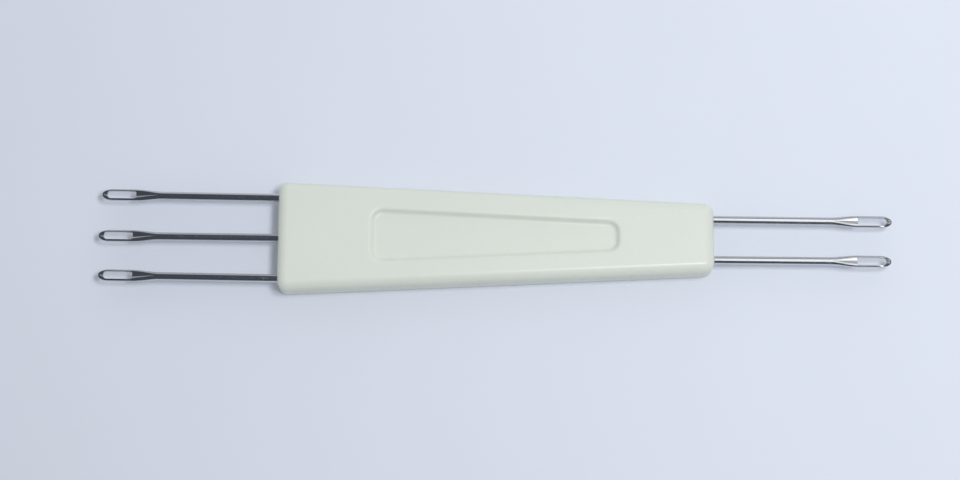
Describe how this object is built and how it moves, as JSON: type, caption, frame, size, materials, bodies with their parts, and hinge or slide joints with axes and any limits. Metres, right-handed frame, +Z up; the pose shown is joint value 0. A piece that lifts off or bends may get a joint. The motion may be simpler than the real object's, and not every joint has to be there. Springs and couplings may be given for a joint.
{
  "type": "knitting machine transfer tool",
  "caption": "Double-ended transfer tool: a flat tapered plastic handle with parallel plated steel prongs at both ends, each with a long eye that slips over a needle hook.",
  "frame": {"origin": "on the table under the middle of the tool, at the bottom centre of its box", "axes": "+X along the tool towards the two-prong end, +Y across it, +Z up out of the recessed face"},
  "size_m": [0.1732, 0.024, 0.007],
  "materials": {
    "ivory_plastic": "semi-gloss moulded plastic, pale ivory with a faint green cast",
    "plated_steel": "bright nickel plate on drawn steel wire"
  },
  "bodies": {
    "root": {"handle_upper_half": "ivory_plastic", "handle_lower_half": "ivory_plastic", "prong_three_rear": "plated_steel", "prong_three_middle": "plated_steel", "prong_three_front": "plated_steel", "prong_two_rear": "plated_steel", "prong_two_front": "plated_steel"}
  },
  "joints": []
}
